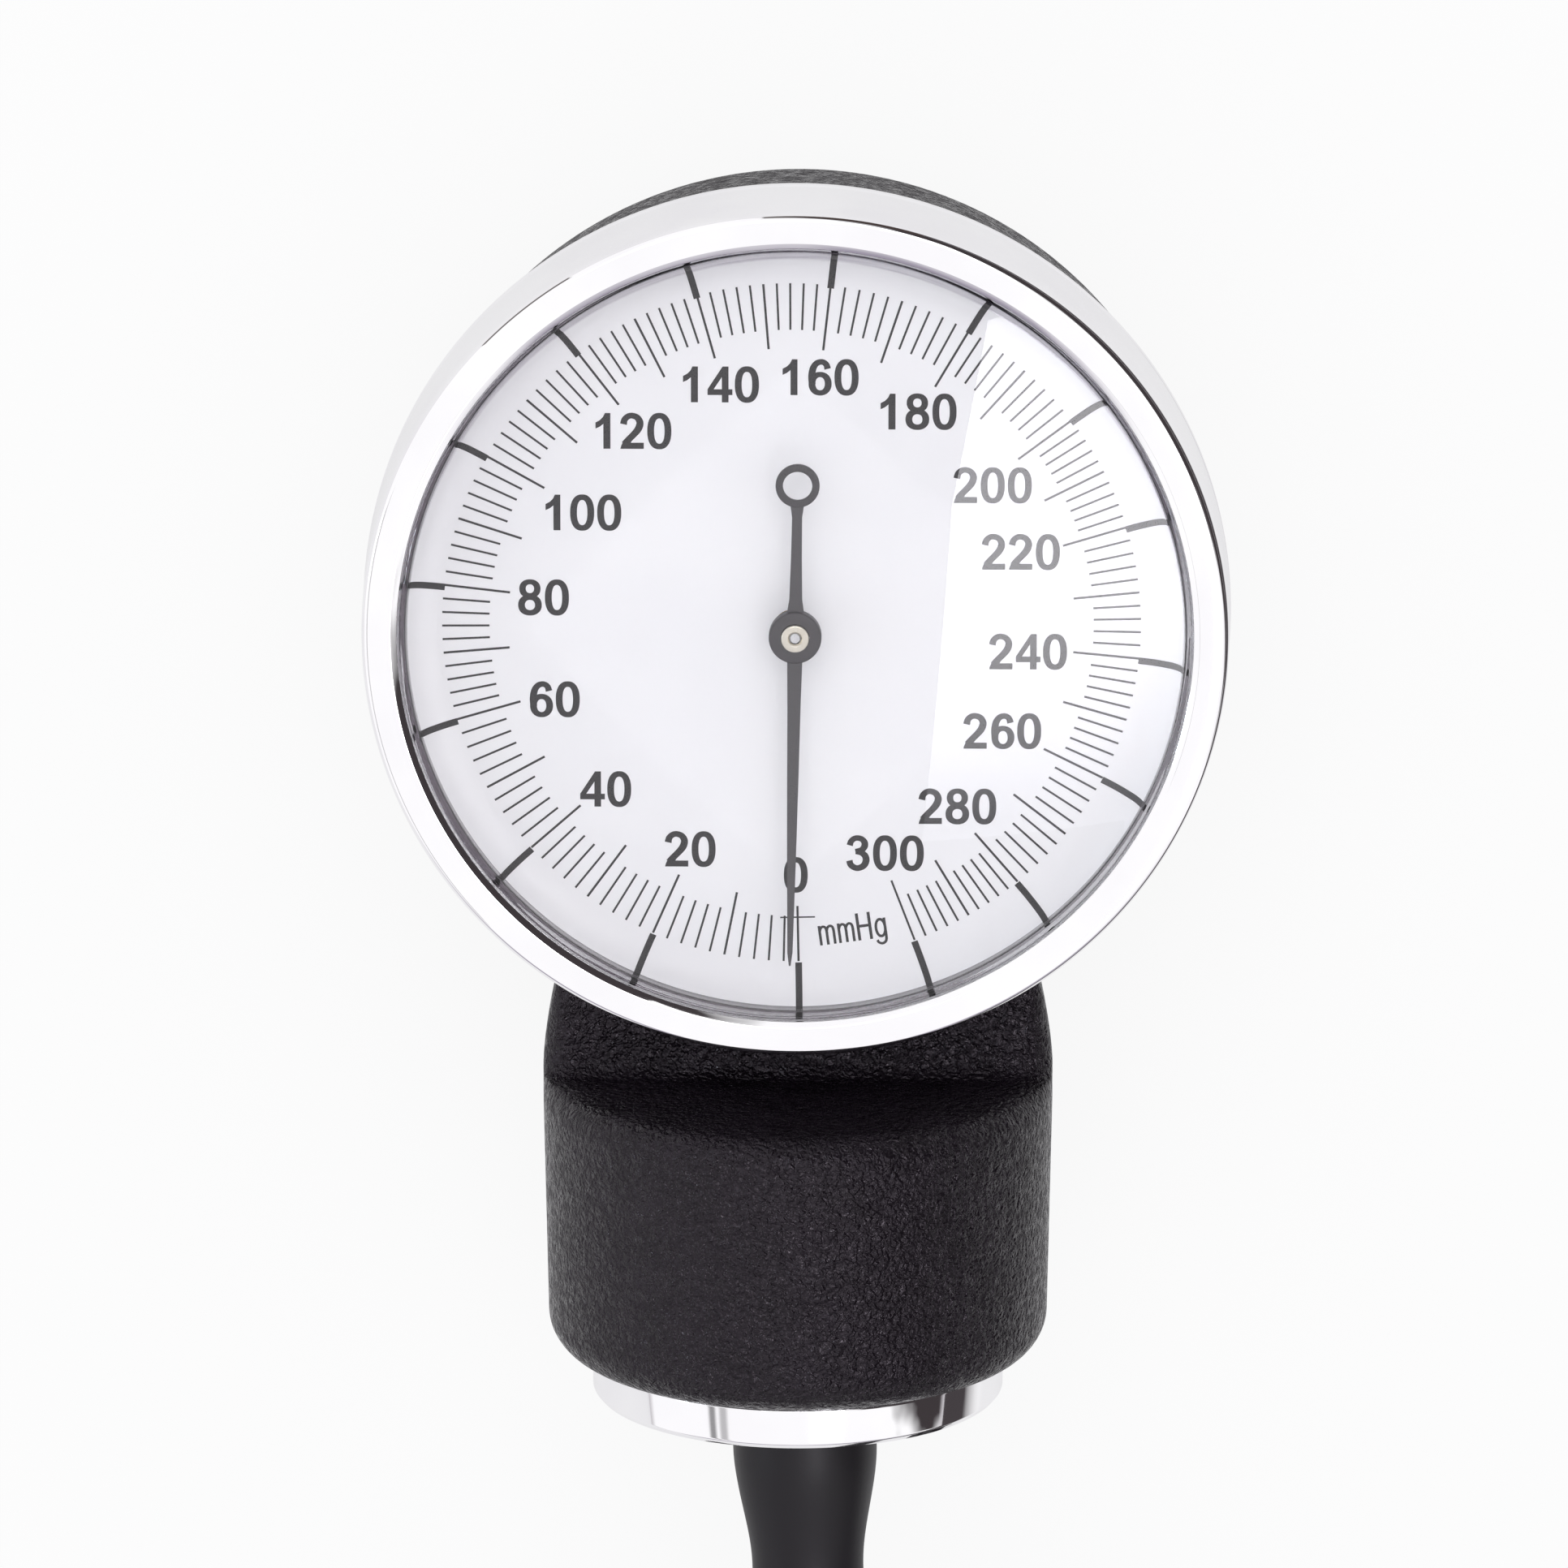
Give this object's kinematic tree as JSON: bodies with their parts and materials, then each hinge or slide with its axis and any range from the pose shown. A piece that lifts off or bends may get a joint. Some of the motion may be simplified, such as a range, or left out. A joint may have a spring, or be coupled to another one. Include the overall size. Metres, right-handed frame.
{
  "type": "aneroid blood pressure gauge",
  "caption": "Pocket aneroid pressure gauge: round chrome bezel, white dial with pointer, black case with a round foot, chrome cap and a black hose coiled to a luer connector.",
  "frame": {"origin": "on the surface that the gauge lies on, under the middle of the gauge without its hose", "axes": "+Z is the dial's normal, towards the reader; +Y points from the foot to the top of the dial; +X is to the reader's right"},
  "size_m": [0.0938, 0.2124, 0.0357],
  "materials": {
    "case_black": "charcoal black with a fine pebbled grain",
    "chrome": "polished chrome plate",
    "clear_lens": "clear domed lens",
    "rubber_black": "matte black rubber seal",
    "dial_white": "white enamelled sheet with printed scale",
    "pointer_black": "black enamelled sheet",
    "brass": "bright turned brass",
    "bronze": "thin spring bronze",
    "steel": "turned steel",
    "hose_black": "smooth black rubber with a soft sheen",
    "nylon_black": "moulded black nylon"
  },
  "bodies": {
    "housing": {"case": "case_black", "bezel_ring": "chrome", "lens_gasket": "rubber_black", "lens": "clear_lens", "dial": "dial_white", "hairspring": "bronze", "hairspring_stud": "brass", "front_plate": "brass", "back_plate": "brass", "pillar_1": "brass", "pillar_2": "brass", "pillar_3": "brass", "plate_screw_1": "steel", "plate_screw_2": "steel", "plate_screw_3": "steel", "movement_screw_1": "steel", "movement_screw_2": "steel", "movement_screw_3": "steel", "rod_guide": "brass", "upper_diaphragm": "bronze", "lower_diaphragm": "bronze", "base_cap": "chrome", "base_seal": "rubber_black", "barbed_stem": "chrome", "cuff_clip": "chrome", "clip_screw_1": "steel", "clip_screw_2": "steel", "hose_flared_end": "hose_black", "hose_run": "hose_black", "hose_coil": "hose_black", "luer_connector": "nylon_black"},
    "pointer_assembly": {"pointer": "pointer_black", "pointer_bush": "brass", "pointer_arbor": "steel", "pinion": "brass", "hairspring_collet": "brass"},
    "sector_lever": {"sector_gear": "brass", "sector_arbor": "steel"},
    "plunger": {"push_rod": "steel"}
  },
  "joints": [
    {"name": "pointer_turn", "type": "hinge", "parent": "housing", "child": "pointer_assembly", "pos_m": [0, 0.01847, 0.0179], "axis": [0, 0, -1], "range_deg": [-1.9, 338.5], "deforming": ["hairspring"]},
    {"name": "sector_rock", "type": "hinge", "parent": "housing", "child": "sector_lever", "pos_m": [-0.003, 0.00073, 0.0179], "axis": [0, 0, 1], "range_deg": [-0.25, 37.7]},
    {"name": "plunger_lift", "type": "slide", "parent": "housing", "child": "plunger", "axis": [0, 1, 0], "range_m": [-0.00001, 0.00204], "stiffness_N_per_m": 500, "deforming": ["upper_diaphragm"]}
  ],
  "couplings": [
    {"joint": "pointer_turn", "follows": "plunger_lift", "rad_per_m": 2890.3},
    {"joint": "sector_rock", "follows": "plunger_lift", "rad_per_m": 321.14}
  ]
}
